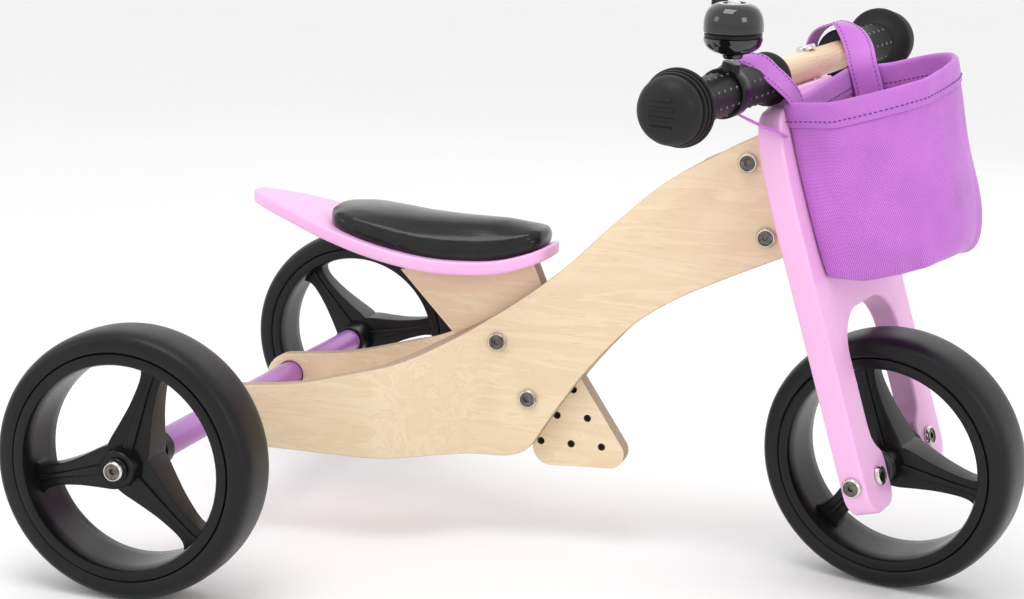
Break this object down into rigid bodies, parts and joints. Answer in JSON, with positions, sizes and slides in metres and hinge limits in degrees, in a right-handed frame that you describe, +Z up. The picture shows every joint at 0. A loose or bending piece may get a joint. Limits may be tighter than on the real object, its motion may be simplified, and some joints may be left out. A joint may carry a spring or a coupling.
{
  "type": "children's tricycle",
  "caption": "Children's pedal-less ride-on tricycle with a bent plywood frame, cushioned curved seat, turning fork, foam-tyred wheels, handlebar bell and fabric bag.",
  "frame": {"origin": "under the middle of the whole object, on the ground", "axes": "+X forward, the way the rider faces; +Y to the rider's left; +Z up"},
  "size_m": [0.7206, 0.5484, 0.4478],
  "materials": {
    "birch_plywood": "clear satin varnish over birch veneer",
    "pink_painted_plywood": "satin pink paint on plywood",
    "black_leatherette": "glossy grained leatherette",
    "bright_metal": "polished",
    "lilac_painted_metal": "satin paint",
    "steel": "bright zinc plate",
    "black_plastic": "satin",
    "foam_tyre": "fine-grained foam rubber",
    "grey_plastic": "satin",
    "grip_rubber": "matt, with small raised dots",
    "gloss_black_plastic": "glossy",
    "purple_fabric": "woven cloth"
  },
  "bodies": {
    "frame": {"side_panel_left": "birch_plywood", "side_panel_right": "birch_plywood", "head_block": "birch_plywood", "seat_board": "pink_painted_plywood", "seat_cushion": "black_leatherette", "seat_plank": "birch_plywood", "head_upper_bolt": "bright_metal", "head_upper_sleeve_nut": "bright_metal", "head_lower_bolt": "bright_metal", "head_lower_sleeve_nut": "bright_metal", "plank_upper_bolt": "bright_metal", "plank_upper_sleeve_nut": "bright_metal", "plank_lower_bolt": "bright_metal", "plank_lower_sleeve_nut": "bright_metal", "axle_tube": "lilac_painted_metal", "rear_axle": "steel", "axle_collar_left": "black_plastic", "hub_washer_left": "black_plastic", "rear_wheel_bolt_left": "bright_metal", "axle_collar_right": "black_plastic", "hub_washer_right": "black_plastic", "rear_wheel_bolt_right": "bright_metal"},
    "steering": {"fork_board": "pink_painted_plywood", "steering_lug_lower": "pink_painted_plywood", "steering_lug_upper": "pink_painted_plywood", "steering_pin": "steel", "steering_pin_nut": "steel", "front_axle": "steel", "front_spacer_left": "grey_plastic", "front_axle_bolt_left": "bright_metal", "axle_lock_screw_left": "bright_metal", "front_spacer_right": "grey_plastic", "front_axle_bolt_right": "bright_metal", "axle_lock_screw_right": "bright_metal", "handlebar": "birch_plywood", "handlebar_bolt_left": "bright_metal", "handlebar_bolt_right": "bright_metal", "grip_left": "grip_rubber", "grip_right": "grip_rubber", "bell_clamp": "black_plastic", "bell_base": "gloss_black_plastic", "bell_dome": "gloss_black_plastic", "bell_screw": "bright_metal", "bag": "purple_fabric", "bag_strap_left": "purple_fabric", "bag_strap_right": "purple_fabric"},
    "rear_wheel_left": {"rear_wheel_left_rim": "black_plastic", "rear_wheel_left_tyre": "foam_tyre", "rear_wheel_left_bush_left": "steel", "rear_wheel_left_bush_right": "steel"},
    "rear_wheel_right": {"rear_wheel_right_rim": "black_plastic", "rear_wheel_right_tyre": "foam_tyre", "rear_wheel_right_bush_left": "steel", "rear_wheel_right_bush_right": "steel"},
    "front_wheel": {"front_wheel_rim": "black_plastic", "front_wheel_tyre": "foam_tyre", "front_wheel_bush_left": "steel", "front_wheel_bush_right": "steel"},
    "bell_lever": {"bell_lever": "black_plastic"}
  },
  "joints": [
    {"name": "steering_turn", "type": "hinge", "parent": "frame", "child": "steering", "pos_m": [0.21016, 0, 0.18927], "axis": [-0.3007, 0, 0.9537], "range_deg": [-24, 56]},
    {"name": "rear_left_spin", "type": "hinge", "parent": "frame", "child": "rear_wheel_left", "pos_m": [-0.26031, 0.2405, 0.1], "axis": [0, 1, 0], "continuous": true},
    {"name": "rear_right_spin", "type": "hinge", "parent": "frame", "child": "rear_wheel_right", "pos_m": [-0.26031, -0.2405, 0.1], "axis": [0, 1, 0], "continuous": true},
    {"name": "front_spin", "type": "hinge", "parent": "steering", "child": "front_wheel", "pos_m": [0.26081, -0.0062, 0.1004], "axis": [0.2629, 0.9613, 0.0829], "continuous": true},
    {"name": "bell_lever_turn", "type": "hinge", "parent": "steering", "child": "bell_lever", "pos_m": [0.14048, -0.12057, 0.42108], "axis": [-0.0111, -0.0829, 0.9965], "range_deg": [0, 25], "stiffness_Nm_per_rad": 0.02, "springref_deg": -11.46}
  ]
}
